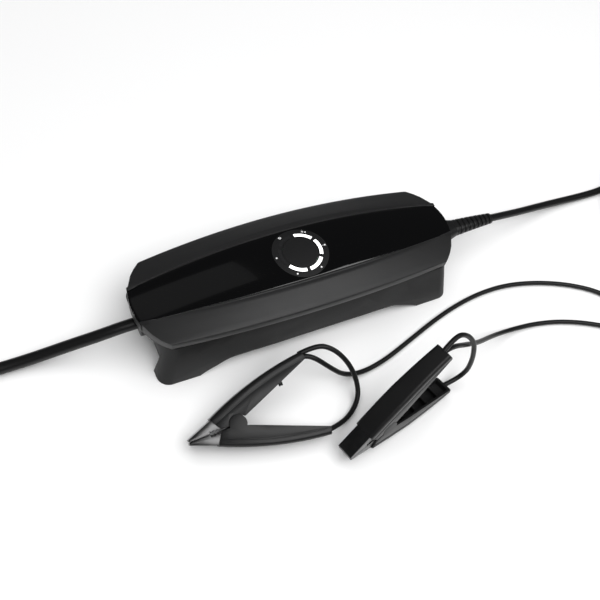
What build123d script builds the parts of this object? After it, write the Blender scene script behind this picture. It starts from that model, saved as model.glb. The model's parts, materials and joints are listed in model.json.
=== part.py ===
"""Portable car battery charger with its output lead, mains lead and a set of battery clamps.

Millimetres, +Z up. The origin is on the floor under the middle of the case. +X runs along the case
towards the mains inlet, and -Y is the long side that the clamps lie in front of.
"""

import math
import os

from build123d import *

# Case, seen from above: bowed long sides, and ends that are arcs of a larger circle.
END_REACH = 108.8  # middle of the case to the middle of either end
END_ARC_RADIUS = 39.5
HALF_WIDTH = 36.8  # of the cover, halfway along
HALF_WIDTH_LOSS = 6.2  # how much narrower it is at TAPER_AT
TAPER_AT = 96.0
COVER_WALL = 2.2

# Heights of the cover's edges halfway along, and what they lose at the ends.
PARTING_Z = 34.5
PARTING_DROP = 5.2
LIP_TOP_Z = 40.0
LIP_DROP = 3.6
CREASE_Y = 23.0
CREASE_Z = 46.0
PANEL_Y = 19.0
PANEL_Z = 45.8
PANEL_END_Y = 12.0
RIDGE_DROP = 6.9  # of the crease and of the panel
PANEL_CROWN = 2.0
PANEL_THICKNESS = 1.8
PANEL_GAP = 0.15
PANEL_SINK = 0.3  # the panel lies this far below the rim of its bed
PANEL_SEAT = 0.05  # glue line under the panel

# Bottom shell.
FOOT_REACH = 103.8
FOOT_HALF_WIDTH = 38.3
FOOT_CORNER = 8.0
SHELL_TOP_REACH = 98.5
SHELL_WALL = 2.4
ARCH_HEIGHT = 10.0
ARCH_HALF = 78.0  # middle of the case to where the long arch starts
ARCH_RAMP = 23.6
END_ARCH_HALF = 25.0
END_WALL_X = 99.0
SEAL_THICKNESS = 0.6

# Start button and the ring of windows round it.
BUTTON_RADIUS = 11.3
BUTTON_GAP = 0.15
BUTTON_TRAVEL = 0.6
STEM_END_Z = 41.4
RING_INNER = 12.1
RING_OUTER = 14.3
WINDOW_COUNT = 6
WINDOW_ANGLE = 50.0

# Inside the case.
BOARD_Z = 17.0
BOARD_THICKNESS = 1.6
BOARD_LENGTH = 160.0
BOARD_WIDTH = 54.0
BOARD_POST_X = 56.0
BOARD_POST_Y = 22.0
AXIS_Z = 22.0  # height of the mains inlet and of the output gland
GLAND_Y = -1.5
GLAND_REACH = 106.0
INLET_FACE_X = 100.0
INLET_PIN_Y = 4.3
INLET_PIN_RADIUS = 1.2
BOSS_X = 84.0
BOSS_Y = 27.5
BOSS_RADIUS = 3.4
SCREW_RADIUS = 1.5

# Strain relief of the mains lead.
BOOT_START = 122.0
BOOT_LENGTH = 34.0
BOOT_RIBS = 9
BOOT_DROOP = 3.6
BOOT_DRIFT = 1.4  # sideways, towards +Y

# Leads.
OUTPUT_LEAD = 7.5
MAINS_LEAD = 5.4
CLAMP_LEAD = 3.2
JUMPER = 3.2
COIL_LIFT = 1.0  # a coil lies on its tie

# The leads' routes, from the case or the clamp outwards.
OUTPUT_ROUTE = [
    (-99.0, GLAND_Y, AXIS_Z),
    (-112.0, GLAND_Y, AXIS_Z),
    (-129.0, -0.7, 18.2),
    (-146.0, 1.5, 13.0),
    (-164.0, 3.4, 7.6),
    (-182.0, 4.6, 4.3),
    (-200.0, 5.0, 3.9),
    (-214.0, 5.2, 4.3),
]
OUTPUT_TAIL = [
    (-282.8, 68.0, 11.2),
    (-282.8, 80.0, 7.6),
    (-282.8, 92.0, 5.5),
]
MAINS_ROUTE = [
    (156.0, 1.4, 18.4),
    (171.0, 2.4, 15.2),
    (186.0, 3.6, 11.8),
    (204.0, 5.2, 8.2),
    (224.0, 6.4, 5.0),
    (244.0, 6.4, 3.3),
    (264.0, 6.2, 2.8),
    (281.0, 7.5, 3.4),
]
MAINS_TAIL = [
    (332.7, -40.0, 18.4),
    (332.7, -50.0, 14.0),
    (332.7, -61.0, 8.8),
    (332.7, -72.0, 6.8),
]
LEFT_LEAD_ROUTE = [
    (-18.2, -58.9, 25.5),
    (-13.0, -62.2, 23.8),
    (-5.0, -67.4, 16.5),
    (5.0, -71.0, 6.4),
    (19.0, -71.5, 1.7),
    (37.0, -68.5, 1.6),
    (58.0, -61.6, 1.6),
    (81.0, -53.8, 1.6),
    (104.0, -47.6, 1.6),
    (127.0, -44.4, 1.6),
    (149.0, -45.0, 1.6),
    (172.0, -50.6, 1.6),
    (194.0, -60.0, 1.6),
    (212.0, -72.6, 1.8),
    (224.0, -91.0, 2.6),
    (229.0, -106.0, 4.6),
    (240.6, -122.3, 5.5),
]
RIGHT_LEAD_ROUTE = [
    (55.0, -93.5, 49.8),
    (62.0, -92.4, 47.0),
    (74.0, -90.6, 38.0),
    (89.0, -87.4, 26.4),
    (104.0, -82.6, 15.6),
    (119.0, -79.4, 7.4),
    (134.0, -78.2, 2.8),
    (151.0, -79.4, 1.6),
    (168.0, -83.4, 1.6),
    (186.0, -90.8, 1.7),
    (203.0, -101.0, 2.0),
    (217.0, -111.4, 2.6),
]
RIGHT_LEAD_TAIL = [
    (223.0, -115.4, 5.8),
    (230.0, -120.2, 5.7),
    (237.8, -126.1, 5.5),
]
LEFT_JUMPER_ROUTE = [
    (-21.1, -55.9, 26.5),
    (-11.5, -55.6, 29.6),
    (-2.0, -60.4, 27.4),
    (5.6, -68.0, 20.0),
    (9.4, -76.4, 11.5),
    (8.4, -86.0, 5.0),
    (1.0, -93.6, 2.8),
    (-9.5, -99.2, 4.6),
    (-19.8, -101.3, 7.9),
]
RIGHT_JUMPER_ROUTE = [
    (51.6, -93.8, 52.4),
    (60.0, -89.4, 54.8),
    (69.0, -89.2, 51.4),
    (75.6, -92.4, 43.6),
    (77.8, -95.2, 33.0),
    (79.2, -96.8, 21.6),
    (79.0, -97.6, 11.4),
    (72.0, -98.2, 4.9),
    (63.3, -99.0, 5.05),
]

# Coils: middle, mean radius, turns side by side, layers, and the lead they are wound from.
OUTPUT_COIL = (-238.0, 50.0, 41.0, 2, 2, OUTPUT_LEAD)
MAINS_COIL = (300.0, -25.0, 30.0, 2, 4, MAINS_LEAD)
CLAMP_COIL = (210.0, -128.5, 18.0, 1, 2, CLAMP_LEAD)

# Plugs on the leads. Each lies at its place with its X in the given direction.
CONNECTOR_LENGTH = 36.0
CONNECTOR_WIDTH = 18.0
CONNECTOR_HEIGHT = 11.0
SOCKET_DEPTH = 10.0
SOCKET_RADIUS = 2.8
PLUG_LENGTH = 36.0
PLUG_HALF_HEIGHT = 6.8
PLUG_PIN_LENGTH = 19.0
PLUG_PIN_RADIUS = 2.0
PLUG_PIN_Y = 9.0
OUTPUT_PLUG_AT = (OUTPUT_TAIL[-1], (0, 1, 0))
MAINS_PLUG_AT = (MAINS_TAIL[-1], (0, -1, 0))
CLAMP_PLUG_AT = ((239.2, -124.2, 5.5), (0.8, -0.6, 0))

# Battery clamps, in their own frame: X from the tip of the jaws to the handles along the bisector,
# Y in the plane in which the jaws open, Z along the pivot.
ARM_WIDTH = 14.0
ARM_WALL = 1.4
PIVOT_X = 30.0
PIN_RADIUS = 1.5
PIN_LENGTH = 12.4  # it ends inside the ears, whose outer faces are closed
EAR_RADIUS = 5.3
EAR_THICKNESS = 1.6
JAW_WIDTH = 11.0
JAW_STEEL = 1.0
ARM_INNER_HALF = ARM_WIDTH / 2 - ARM_WALL
LUG_INNER = 3.9  # the upper arm's lugs and the lower arm's ears, from the middle of the clamp
LUG_OUTER = 5.1
EAR_INNER = 5.4
ARM_BACK = ((15.3, 8.3), (41.5, 18.3), (79.9, 26.2))
ARM_UNDERSIDE = ((79.9, 26.2), (81.3, 21.4), (36.0, 3.0), (24.0, 0.5), (19.5, 0.7), (15.3, 8.3))
RIB_PLACES = (44.0, 53.0, 62.0, 71.0)
GROOVE_BELOW_BACK = 4.3
GROOVE_WIDTH = 0.7
GROOVE_DEPTH = 0.5
STUD_X = 62.6

# Where each clamp lies: the tip of its jaws, its X, and its Z.
LEFT_CLAMP_AT = ((-101.3, -80.3, 9.6), (0.9959, 0.0087, 0.0896), (-0.0797, -0.379, 0.9219))
RIGHT_CLAMP_AT = ((-18.5, -118.4, 10.0), (0.9382, 0.2691, 0.2176), (0.2369, -0.9578, 0.163))

# Places along the case at which its curved sections are drawn.
STATIONS = (-110.0, -88.0, -58.0, -28.0, 0.0, 28.0, 58.0, 88.0, 110.0)


def share(x, at):
    """How far along its curve a bowed edge is at x: 0 halfway along the case, 1 at the given x."""
    return (x / at) ** 2


def half_width(x):
    return HALF_WIDTH - HALF_WIDTH_LOSS * share(x, TAPER_AT)


def lip_top(x):
    return LIP_TOP_Z - LIP_DROP * share(x, TAPER_AT)


def crease(x):
    ends = share(x, 106.0)
    return CREASE_Y - (CREASE_Y - PANEL_END_Y - 0.9) * ends, CREASE_Z - RIDGE_DROP * ends


def panel_edge(x):
    ends = share(x, 106.0)
    return PANEL_Y - (PANEL_Y - PANEL_END_Y) * ends, PANEL_Z - RIDGE_DROP * ends


def crown(y, z):
    """An arc over the case from -y to y at height z, that rises in the middle as the panel does."""
    rise = PANEL_CROWN * (y / PANEL_Y) ** 2
    return ThreePointArc((-y, z), (0.0, z + rise), (y, z))


def section(x, corners, arc_y, arc_z):
    """A face across the case at x. corners run down the +Y side; the arc joins the two sides."""
    right = [(arc_y, arc_z)] + corners
    left = [(-y, z) for y, z in reversed(right)]
    with BuildSketch(Plane(origin=(x, 0, 0), x_dir=(0, 1, 0), z_dir=(1, 0, 0))) as face:
        with BuildLine():
            crown(arc_y, arc_z)
            for a, b in zip(right, right[1:]):
                Line(a, b)
            Line(right[-1], left[0])
            for a, b in zip(left, left[1:]):
                Line(a, b)
        make_face()
    return face.sketch


def cover_section(x):
    y, z = panel_edge(x)
    bed = z - PANEL_THICKNESS - PANEL_SINK - PANEL_SEAT
    crease_y, crease_z = crease(x)
    side = [(y, z), (crease_y, crease_z), (half_width(x), lip_top(x)), (half_width(x), 24.0)]
    return section(x, side, y, bed)


def cavity_section(x):
    y, z = panel_edge(x)
    ceiling = z - PANEL_THICKNESS - PANEL_SINK - 1.4
    wall_y = half_width(x) - COVER_WALL
    side = [(y + 1.2, ceiling), (wall_y - 1.0, lip_top(x) - COVER_WALL), (wall_y, 24.0)]
    return section(x, side, y, ceiling)


def panel_section(x):
    """The panel is equally thick all over, so its underside is crowned like its top."""
    y, z = panel_edge(x)
    y -= PANEL_GAP
    top = z - PANEL_SINK
    bottom = top - PANEL_THICKNESS
    with BuildSketch(Plane(origin=(x, 0, 0), x_dir=(0, 1, 0), z_dir=(1, 0, 0))) as face:
        with BuildLine():
            crown(y, top)
            Line((y, top), (y, bottom))
            crown(y, bottom)
            Line((-y, bottom), (-y, top))
        make_face()
    return face.sketch


def loft_along(make):
    return loft([make(x) for x in STATIONS])


def plan_prism(inset):
    """The case's outline from above, extruded. Only its ends are curved; the loft has the long sides."""
    reach = END_REACH - inset
    radius = END_ARC_RADIUS - inset
    centre_x = reach - radius
    corner_y = radius * 0.95
    corner_x = centre_x + math.sqrt(radius**2 - corner_y**2)
    with BuildSketch() as plan:
        with BuildLine():
            ThreePointArc((corner_x, -corner_y), (reach, 0), (corner_x, corner_y))
            Line((corner_x, corner_y), (-corner_x, corner_y))
            ThreePointArc((-corner_x, corner_y), (-reach, 0), (-corner_x, -corner_y))
            Line((-corner_x, -corner_y), (corner_x, -corner_y))
        make_face()
    return extrude(plan.sketch, 80)


def above_parting(offset):
    """Everything above the curved parting surface between the two halves, raised by offset."""
    middle, end = PARTING_Z + offset, PARTING_Z - PARTING_DROP + offset
    with BuildSketch(Plane.XZ) as side:
        with BuildLine():
            ThreePointArc((-115, end), (0, middle), (115, end))
            Polyline((115, end), (115, 90), (-115, 90), (-115, end))
        make_face()
    return extrude(side.sketch, 60, both=True)


def cylinder_at(x, y, bottom, top, radius):
    return Pos(x, y, (bottom + top) / 2) * Cylinder(radius, top - bottom)


def box_between(low, high):
    size = [b - a for a, b in zip(low, high)]
    centre = [(a + b) / 2 for a, b in zip(low, high)]
    return Pos(*centre) * Box(*size)


def corner_places(x, y):
    return [(sx * x, sy * y) for sx in (-1, 1) for sy in (-1, 1)]


def ring_sector(inner, outer, start, sweep, bottom, top):
    with BuildSketch(Plane.XY.offset(bottom)) as face:
        with BuildLine():
            CenterArc((0, 0), outer, start, sweep)
            CenterArc((0, 0), inner, start, sweep)
            for angle in (start, start + sweep):
                turn = math.radians(angle)
                ray = (math.cos(turn), math.sin(turn))
                Line((inner * ray[0], inner * ray[1]), (outer * ray[0], outer * ray[1]))
        make_face()
    return extrude(face.sketch, top - bottom)


def window_starts():
    pitch = 360.0 / WINDOW_COUNT
    return [i * pitch - WINDOW_ANGLE / 2 for i in range(WINDOW_COUNT)]


# ---------------------------------------------------------------- case


def panel_blank():
    return loft_along(panel_section) & plan_prism(0.0)


def top_cover():
    """The cover. Its ends overhang the bottom shell, and are closed from below by a thin floor."""
    upper = above_parting(SEAL_THICKNESS)
    shell = loft_along(cover_section) & plan_prism(0.0) & upper
    hollow = loft_along(cavity_section) & plan_prism(COVER_WALL)
    over_shell = box_between((-SHELL_TOP_REACH + 4, -60, 0), (SHELL_TOP_REACH - 4, 60, 60))
    cover = shell - (hollow & over_shell) - (hollow & above_parting(SEAL_THICKNESS + COVER_WALL))
    for x, y in corner_places(BOSS_X, BOSS_Y):
        cover += cylinder_at(x, y, 20.0, LIP_TOP_Z, BOSS_RADIUS) & shell
        cover -= cylinder_at(x, y, 20.0, PARTING_Z + 2.0, SCREW_RADIUS)
    return cover - cylinder_at(0, 0, 30, 60, RING_OUTER + 0.6)


def gloss_panel():
    panel = panel_blank() - cylinder_at(0, 0, 30, 60, BUTTON_RADIUS + BUTTON_GAP)
    for start in window_starts():
        panel -= ring_sector(RING_INNER, RING_OUTER, start, WINDOW_ANGLE, 30, 60)
    return panel


def start_button():
    cap = panel_blank() & cylinder_at(0, 0, 30, 60, BUTTON_RADIUS)
    collar = cylinder_at(0, 0, 44.6, 45.8, BUTTON_RADIUS - 1.0)
    stem = cylinder_at(0, 0, STEM_END_Z, 45.0, 2.0)
    return cap + collar + stem


def light_guide():
    """A clear ring under the panel, with a window standing up from it into each of the panel's slots."""
    gap = 0.05
    blank = panel_blank()
    guide = cylinder_at(0, 0, 40.4, 43.0, RING_OUTER - gap) - cylinder_at(0, 0, 40, 60, RING_INNER + gap)
    for start in window_starts():
        arc = ring_sector(RING_INNER + gap, RING_OUTER - gap, start + 0.3, WINDOW_ANGLE - 0.6, 42.5, 60)
        foot = arc & cylinder_at(0, 0, 42, 44.8, RING_OUTER)
        guide += foot + (arc & blank)
    return guide


def shell_outline(corner_x, corner_y, bow_x, bow_y, radius):
    """The bottom shell's outline at one height: a rectangle with bowed sides and round corners."""
    with BuildSketch() as plan:
        with BuildLine():
            ThreePointArc((-corner_x, -corner_y), (0, -corner_y - bow_y), (corner_x, -corner_y))
            ThreePointArc((corner_x, -corner_y), (corner_x + bow_x, 0), (corner_x, corner_y))
            ThreePointArc((corner_x, corner_y), (0, corner_y + bow_y), (-corner_x, corner_y))
            ThreePointArc((-corner_x, corner_y), (-corner_x - bow_x, 0), (-corner_x, -corner_y))
        make_face()
        fillet(plan.vertices(), radius)
    return plan.sketch


def shell_body(inset):
    """The bottom shell's outer form, flared towards the floor; inset gives the form of its hollow."""
    floor_y = FOOT_HALF_WIDTH - 0.6
    top_y = half_width(TAPER_AT) - 0.9
    top_bow = HALF_WIDTH - 0.9 - top_y
    levels = (
        (0.0, FOOT_REACH - 0.4, floor_y, 0.4, 0.6),
        (14.0, FOOT_REACH - 4.0, floor_y - 2.2, 1.0, 1.6),
        (36.0, SHELL_TOP_REACH - 4.0, top_y, 4.0, top_bow),
    )
    faces = []
    for z, corner_x, corner_y, bow_x, bow_y in levels:
        outline = shell_outline(corner_x - inset, corner_y - inset, bow_x, bow_y, FOOT_CORNER - inset)
        faces.append(Pos(0, 0, z) * outline)
    return loft(faces)


def long_arch():
    """The space under the case between the feet, right through from one long side to the other."""
    inner = ARCH_HALF - ARCH_RAMP
    with BuildSketch(Plane.XZ) as side:
        with BuildLine():
            Line((-ARCH_HALF, -1), (ARCH_HALF, -1))
            for way in (1, -1):
                Line((way * ARCH_HALF, -1), (way * ARCH_HALF, 0))
                Spline(
                    (way * ARCH_HALF, 0),
                    (way * (ARCH_HALF - ARCH_RAMP / 2), ARCH_HEIGHT * 0.62),
                    (way * inner, ARCH_HEIGHT),
                    tangents=((-way * 1.0, 0.85), (-way * 1.0, 0.0)),
                )
            Line((inner, ARCH_HEIGHT), (-inner, ARCH_HEIGHT))
        make_face()
    return extrude(side.sketch, 60, both=True)


def bottom_shell():
    body = shell_body(0.0)
    wall = END_WALL_X - SHELL_WALL
    floor_top = ARCH_HEIGHT + SHELL_WALL
    inside = shell_body(SHELL_WALL) & box_between((-wall, -60, floor_top), (wall, 60, 60))
    shell = body - inside - long_arch()
    for way in (-1, 1):
        low, high = sorted((way * END_WALL_X, way * 120.0))
        shell -= box_between((low, -END_ARCH_HALF, -1), (high, END_ARCH_HALF, 50))
        low, high = sorted((way * (ARCH_HALF - 1), way * 120.0))
        shell -= box_between((low, -END_ARCH_HALF, -1), (high, END_ARCH_HALF, ARCH_HEIGHT))
    for x, y in corner_places(BOSS_X, BOSS_Y):
        shell += cylinder_at(x, y, 8.0, PARTING_Z, BOSS_RADIUS) & body
    shell = shell - above_parting(0.0)
    for x, y in corner_places(BOSS_X, BOSS_Y):
        shell -= cylinder_at(x, y, -1, 14.0, 2.9)
        shell -= cylinder_at(x, y, -1, 60.0, SCREW_RADIUS + 0.15)
    for x, y in corner_places(BOARD_POST_X, BOARD_POST_Y):
        shell += cylinder_at(x, y, floor_top - 1, BOARD_Z, 2.6)
    inlet_hole = box_between((END_WALL_X - 5, -11.2, AXIS_Z - 6.2), (120, 11.2, AXIS_Z + 6.2))
    gland_low = (-120, GLAND_Y - 7.2, AXIS_Z - 6.2)
    gland_high = (-END_WALL_X + 5, GLAND_Y + 7.2, AXIS_Z + 6.2)
    return shell - inlet_hole - box_between(gland_low, gland_high)


def cover_seal():
    """The gasket between the two halves, set back from the outside so that it shows as a dark line."""
    outer = shell_body(0.8)
    inner = shell_body(2.2)
    band = (outer - inner) & above_parting(0.0)
    return band - above_parting(SEAL_THICKNESS)


def case_screws():
    screws = []
    for x, y in corner_places(BOSS_X, BOSS_Y):
        head = cylinder_at(x, y, 11.4, 14.0, 2.7)
        shank = cylinder_at(x, y, 14.0, PARTING_Z - 1.0, SCREW_RADIUS - 0.02)
        slot = cylinder_at(x, y, 11.0, 12.6, 1.1)
        screws.append(head + shank - slot)
    return screws


# ---------------------------------------------------------------- electronics


def board_top():
    return BOARD_Z + BOARD_THICKNESS


def on_board(x, y, size):
    """A block of that size standing on the circuit board."""
    return Pos(x, y, board_top() + size[2] / 2) * Box(*size)


def circuit_board():
    board = Pos(0, 0, BOARD_Z + BOARD_THICKNESS / 2) * Box(BOARD_LENGTH, BOARD_WIDTH, BOARD_THICKNESS)
    for x, y in corner_places(BOARD_POST_X, BOARD_POST_Y):
        board -= cylinder_at(x, y, 0, 60, 1.2)
    return board


def transformer_core():
    """Two E halves round the winding: a yoke at each end, outer legs, and the middle leg."""
    core = on_board(24, 0, (26, 24, 18)) - on_board(24, 0, (18, 40, 18 - 7))
    middle = on_board(24, 0, (7, 24, 18))
    return core + middle - box_between((0, -20, 0), (50, 20, board_top() + 2.0))


def transformer_winding():
    base = board_top()
    outer = box_between((15.3, -14.6, base + 2.2), (32.7, 14.6, base + 10.8))
    return outer - box_between((20.4, -12.2, base), (27.6, 12.2, base + 30))


def can_capacitor(x, y, radius, height):
    top = board_top() + height
    can = cylinder_at(x, y, board_top(), top, radius)
    groove = cylinder_at(x, y, top - 3.4, top - 2.6, radius + 1) - cylinder_at(x, y, 0, 80, radius - 0.4)
    return can - groove


def output_capacitors():
    return [can_capacitor(-48, y, 4.0, 14.0) for y in (-16, -6, 4)]


def filter_choke():
    return Pos(-4, 0, board_top() + 8) * Rot(0, 90, 0) * (Cylinder(7.5, 7) - Cylinder(3.0, 9))


def heat_sink():
    """An aluminium plate along the rear edge of the board, with upright fins."""
    plate = box_between((-30, 21.0, board_top()), (40, 23.0, board_top() + 16))
    for i in range(12):
        x = -28 + i * 6.0
        plate += box_between((x, 17.6, board_top()), (x + 1.4, 21.2, board_top() + 16))
    return plate


def power_transistors():
    base = board_top()
    return [box_between((x, 23.0, base + 3), (x + 10, 26.4, base + 15)) for x in (-22, -2, 18)]


def output_relay():
    return on_board(-66, 12, (15, 12, 13))


def fuse():
    return Pos(62, -18, board_top() + 3) * Rot(0, 90, 0) * Cylinder(2.6, 20)


def display_board():
    """The small board under the ring, with a hole for the switch's legs."""
    return cylinder_at(0, 0, 37.4, 38.6, 15.5)


def ring_leds():
    leds = []
    for start in window_starts():
        turn = math.radians(start + WINDOW_ANGLE / 2)
        x, y = 13.2 * math.cos(turn), 13.2 * math.sin(turn)
        leds.append(Pos(x, y, 39.1) * Box(1.6, 1.6, 1.0))
    return leds


def tact_switch():
    """The click switch under the start button; its plunger stops the button's stem."""
    plunger_top = STEM_END_Z - BUTTON_TRAVEL - 0.05
    return box_between((-3, -3, 38.6), (3, 3, 40.2)) + cylinder_at(0, 0, 40.0, plunger_top, 1.6)


# ---------------------------------------------------------------- inlet, gland and the plugs


def slot_prism(start_x, length, width, height, y=0.0, z=AXIS_Z):
    """A bar along X with a flat oval section."""
    with BuildSketch(Plane(origin=(start_x, y, z), x_dir=(0, 1, 0), z_dir=(1, 0, 0))) as face:
        SlotOverall(width, height)
    return extrude(face.sketch, length)


def rod_along_x(start_x, length, radius, y=0.0, z=AXIS_Z):
    return Pos(start_x + length / 2, y, z) * Rot(0, 90, 0) * Cylinder(radius, length)


def mains_inlet():
    block = box_between((84, -11.0, AXIS_Z - 6.0), (INLET_FACE_X, 11.0, AXIS_Z + 6.0))
    wall = END_WALL_X - SHELL_WALL
    flange = box_between((wall - 3.2, -13, AXIS_Z - 3.0), (wall - 1.6, 13, AXIS_Z + 8))
    inlet = block + flange - slot_prism(INLET_FACE_X - 10, 20, 17.0, 8.6)
    for pin in inlet_pins():
        inlet -= pin
    return inlet


def inlet_pins():
    return [rod_along_x(84.0, 14.5, INLET_PIN_RADIUS, y) for y in (-INLET_PIN_Y, INLET_PIN_Y)]


def slot_face(x, width, height):
    with BuildSketch(Plane(origin=(x, 0, AXIS_Z), x_dir=(0, 1, 0), z_dir=(1, 0, 0))) as face:
        SlotOverall(width, height)
    return face.sketch


def mains_connector():
    """Figure-eight connector: the nose in the inlet, a grip, and a shoulder the boot grows out of."""
    grip_end = INLET_FACE_X + 11.6
    nose = slot_prism(INLET_FACE_X - 9.6, 10.2, 16.4, 8.0)
    grip = slot_prism(INLET_FACE_X + 0.3, 11.3, 18.4, 10.4)
    shoulder = loft([slot_face(grip_end, 18.4, 10.4), slot_face(BOOT_START, 12.2, 9.0)])
    body = nose + grip + shoulder
    for y in (-INLET_PIN_Y, INLET_PIN_Y):
        body -= rod_along_x(INLET_FACE_X - 12, 12.5, INLET_PIN_RADIUS + 0.05, y)
    return body


def boot_plane(t):
    """Across the boot at that share of its length; its own weight bends it down."""
    slope_y = 2 * BOOT_DRIFT * t / BOOT_LENGTH
    slope_z = -2 * BOOT_DROOP * t / BOOT_LENGTH
    origin = (BOOT_START + BOOT_LENGTH * t, BOOT_DRIFT * t**2, AXIS_Z - BOOT_DROOP * t**2)
    return Plane(origin=origin, x_dir=(-slope_y, 1, 0), z_dir=(1, slope_y, slope_z))


def mains_boot():
    """Ribbed strain relief: thick ribs on a tapering core."""
    boot = None
    for i in range(BOOT_RIBS):
        start = i / BOOT_RIBS
        width = 12.0 - 4.4 * start
        height = 8.8 - 2.4 * start
        pitch = BOOT_LENGTH / BOOT_RIBS
        rib = extrude(boot_plane(start) * SlotOverall(width, height), pitch * 0.6)
        core = extrude(boot_plane(start) * SlotOverall(width - 2.2, height - 2.2), pitch + 0.1)
        boot = rib + core if boot is None else boot + rib + core
    return boot


def output_gland():
    """The grommet that holds the output lead in the end wall."""
    low = (-END_WALL_X, GLAND_Y - 7, AXIS_Z - 6)
    high = (-END_WALL_X + 8, GLAND_Y + 7, AXIS_Z + 6)
    outer = slot_prism(-GLAND_REACH, GLAND_REACH - END_WALL_X, 18.0, 13.6, GLAND_Y)
    return box_between(low, high) + outer - rod_along_x(-120, 40, OUTPUT_LEAD / 2, GLAND_Y)


# ---------------------------------------------------------------- leads

def arc_radii(route):
    """The radius at each inner point of a route: as large as the shorter of its two runs allows."""
    points = [Vector(*p) for p in route]
    radii = []
    for a, b, c in zip(points, points[1:], points[2:]):
        turn = math.radians((b - a).get_angle(c - b))
        shorter = min((b - a).length, (c - b).length)
        radii.append(0.45 * shorter / math.tan(turn / 2))
    return radii


def cord_tube(name, route, diameter):
    radii = arc_radii(route)
    path = FilletPolyline(*route, radius=radii)
    tube = sweep(Plane(origin=path @ 0, z_dir=path % 0) * Circle(diameter / 2), path=path)
    section_area = math.pi * diameter**2 / 4
    print(
        f"{name}: {path.length:.0f} mm, radii {[round(r) for r in radii]},"
        f" volume share {tube.volume / (section_area * path.length):.3f}"
    )
    return tube


def coil_solid(coil):
    """The outer shape of a wound coil lying flat."""
    x, y, mean_radius, rows, layers, diameter = coil
    half = rows * diameter / 2
    height = layers * diameter
    ring = Cylinder(mean_radius + half, height) - Cylinder(mean_radius - half, height + 2)
    return Pos(x, y, COIL_LIFT + height / 2) * ring


def coil_tie(coil, angle):
    """A strap round one side of a coil, at that angle from +X."""
    x, y, mean_radius, rows, layers, diameter = coil
    wide = rows * diameter + 1.2
    tall = layers * diameter + 0.2
    strap = Box(wide + 1.4, 6.0, tall + 1.4) - Box(wide, 8.0, tall)
    centre_z = COIL_LIFT + layers * diameter / 2
    return Pos(x, y, centre_z) * Rot(0, 0, angle) * Pos(mean_radius, 0, 0) * strap


def cable_ties():
    return [coil_tie(OUTPUT_COIL, 80), coil_tie(MAINS_COIL, -120), coil_tie(CLAMP_COIL, 220)]


# ---------------------------------------------------------------- plugs on the leads

def connector_blank():
    """A two-pole low-voltage connector along +X: the lead enters at 0, the sockets are at the far end."""
    body = Pos(CONNECTOR_LENGTH / 2, 0, 0) * Box(CONNECTOR_LENGTH, CONNECTOR_WIDTH, CONNECTOR_HEIGHT)
    body = fillet(body.edges().filter_by(Axis.X), 2.4)
    for i in range(4):
        for way in (-1, 1):
            body -= Pos(6 + i * 3.2, way * CONNECTOR_WIDTH / 2, 0) * Box(1.4, 1.0, 7.0)
    for y in (-CONNECTOR_WIDTH / 4, CONNECTOR_WIDTH / 4):
        body -= rod_along_x(CONNECTOR_LENGTH - SOCKET_DEPTH, SOCKET_DEPTH + 1, SOCKET_RADIUS, y, 0)
    return body


def socket_contacts():
    """A sprung tube at the bottom of each of the connector's sockets."""
    contacts = []
    for y in (-CONNECTOR_WIDTH / 4, CONNECTOR_WIDTH / 4):
        start = CONNECTOR_LENGTH - SOCKET_DEPTH
        tube = rod_along_x(start, 7.0, 2.1, y, 0) - rod_along_x(start + 1, 8.0, 1.5, y, 0)
        contacts.append(tube)
    return contacts


def plug_blank():
    """A flat two-pin plug along +X: narrow where the lead enters at 0, wide at the pins."""
    corners = [(0, 4), (12, 7), (20, 12.6), (PLUG_LENGTH, 12.6)]
    other_side = [(x, -y) for x, y in reversed(corners)]
    with BuildSketch() as face:
        with BuildLine():
            Polyline(*corners, *other_side, corners[0])
        make_face()
    return extrude(face.sketch, PLUG_HALF_HEIGHT, both=True)


def plug_pins():
    return [
        rod_along_x(PLUG_LENGTH, PLUG_PIN_LENGTH, PLUG_PIN_RADIUS, y, 0) for y in (-PLUG_PIN_Y, PLUG_PIN_Y)
    ]


def placed(origin, direction, parts):
    """Parts built along +X from the origin, moved so that they start at origin and run along direction."""
    place = Plane(origin=origin, x_dir=direction, z_dir=(0, 0, 1)).location
    return [place * piece for piece in parts]


# ---------------------------------------------------------------- battery clamps


def clamp_place(tip, along, pivot):
    return Plane(origin=tip, x_dir=along, z_dir=pivot).location


def mirrored(shape):
    """The lower arm and jaw are the upper ones, mirrored in the plane of the pivot."""
    return mirror(shape, about=Plane.XZ)


def both_sides(low, high, make):
    """The same plate on either side of the middle, between those two distances from it."""
    plate = make(high - low)
    centre = (low + high) / 2
    return [Pos(0, 0, centre) * plate, Pos(0, 0, -centre) * plate]


def arm_plan(half_at_pivot, half_at_end):
    """The arm's outline across the pivot: parallel to the middle of the arm, then tapering."""
    with BuildSketch(Plane.XZ) as face:
        with BuildLine():
            side = [(0, half_at_pivot), (45, half_at_pivot), (90, half_at_end)]
            Polyline(*side, *[(x, -y) for x, y in reversed(side)], side[0])
        make_face()
    return extrude(face.sketch, 60, both=True)


def arm_block():
    with BuildSketch() as face:
        with BuildLine():
            ThreePointArc(*ARM_BACK)
            Polyline(*ARM_UNDERSIDE)
        make_face()
    block = extrude(face.sketch, ARM_WIDTH, both=True) & arm_plan(ARM_WIDTH / 2, ARM_WIDTH / 2 - 1.3)
    back = [e for e in block.edges() if e.length > 20 and e.center().Y > 3 + 0.3 * e.center().X]
    return fillet(back, 2.4)


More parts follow.
